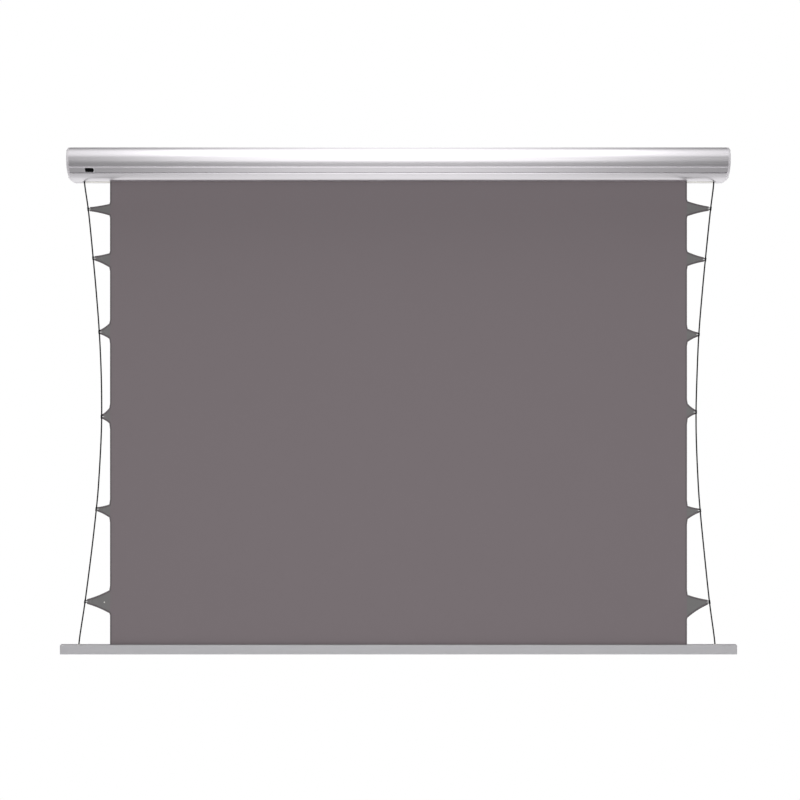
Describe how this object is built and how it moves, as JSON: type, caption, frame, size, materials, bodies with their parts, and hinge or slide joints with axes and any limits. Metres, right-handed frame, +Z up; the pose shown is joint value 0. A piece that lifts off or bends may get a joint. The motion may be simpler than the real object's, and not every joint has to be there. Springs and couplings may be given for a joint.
{
  "type": "tab tensioned roll down projector screen",
  "caption": "Motorised projector screen: a grey sheet held flat by side tabs and cords rolls down from a long silver case, with a weighted bar at its foot.",
  "frame": {"origin": "on the wall plane, at the middle of the flat rail on the back of the case", "axes": "+X along the case to the viewer's right, +Y into the wall, +Z up"},
  "size_m": [2.38, 0.12, 1.772],
  "materials": {
    "case_metal": "satin silver anodised extrusion",
    "cap_finish": "silver painted moulding",
    "lens": "black infra-red lens",
    "dark_plastic": "moulded black plastic",
    "zinc_steel": "zinc plated steel",
    "motor_shell": "bare drawn tube",
    "white_steel": "white powder coat",
    "rubber": "black rubber",
    "sheet": "matt grey projection vinyl",
    "tab_cloth": "matt grey vinyl tab",
    "cord": "black braided cord",
    "tube_metal": "mill finish tube",
    "nylon": "natural nylon",
    "bar_metal": "satin silver extrusion",
    "bar_plug": "grey moulded plug"
  },
  "bodies": {
    "housing": {"case_upper": "case_metal", "case_lower_cover": "case_metal", "end_cap_left": "cap_finish", "end_cap_right": "cap_finish", "ir_window": "lens", "ir_receiver_box": "dark_plastic", "motor_bracket": "zinc_steel", "idler_bracket": "zinc_steel", "tubular_motor": "motor_shell", "motor_head": "dark_plastic", "idler_pin": "zinc_steel", "wall_bracket_left": "white_steel", "wall_bracket_right": "white_steel", "power_inlet_grommet": "rubber", "screen_sheet": "sheet", "tab_left_1": "tab_cloth", "tab_left_2": "tab_cloth", "tab_left_3": "tab_cloth", "tab_left_4": "tab_cloth", "tab_left_5": "tab_cloth", "tab_left_6": "tab_cloth", "tab_right_1": "tab_cloth", "tab_right_2": "tab_cloth", "tab_right_3": "tab_cloth", "tab_right_4": "tab_cloth", "tab_right_5": "tab_cloth", "tab_right_6": "tab_cloth", "cord_left": "cord", "cord_right": "cord"},
    "roller": {"roller_tube": "tube_metal", "crown_ring": "nylon", "drive_wheel": "nylon", "motor_shaft": "zinc_steel", "idler_plug": "nylon", "fabric_roll": "sheet", "cord_wrap_left": "cord", "cord_wrap_right": "cord", "cord_clip_left": "nylon", "cord_clip_right": "nylon"},
    "bottom_bar": {"bottom_bar": "bar_metal", "bar_cap_left": "bar_plug", "bar_cap_right": "bar_plug", "hem_rod": "zinc_steel", "ballast_rod": "zinc_steel", "cord_anchor_left": "nylon", "cord_anchor_right": "nylon", "cord_ferrule_left": "zinc_steel", "cord_ferrule_right": "zinc_steel"}
  },
  "joints": [
    {"name": "bar_lift", "type": "slide", "parent": "housing", "child": "bottom_bar", "axis": [0, 0, 1], "range_m": [0, 1.626], "deforming": ["screen_sheet", "tab_left_1", "tab_left_2", "tab_left_3", "tab_left_4", "tab_left_5", "tab_left_6", "tab_right_1", "tab_right_2", "tab_right_3", "tab_right_4", "tab_right_5", "tab_right_6", "cord_left", "cord_right"]},
    {"name": "roller_turn", "type": "hinge", "parent": "housing", "child": "roller", "pos_m": [0, -0.06, 0.03], "axis": [1, 0, 0], "range_deg": [0, 2460]}
  ],
  "couplings": [
    {"joint": "roller_turn", "follows": "bar_lift", "rad_per_m": 26.35}
  ]
}
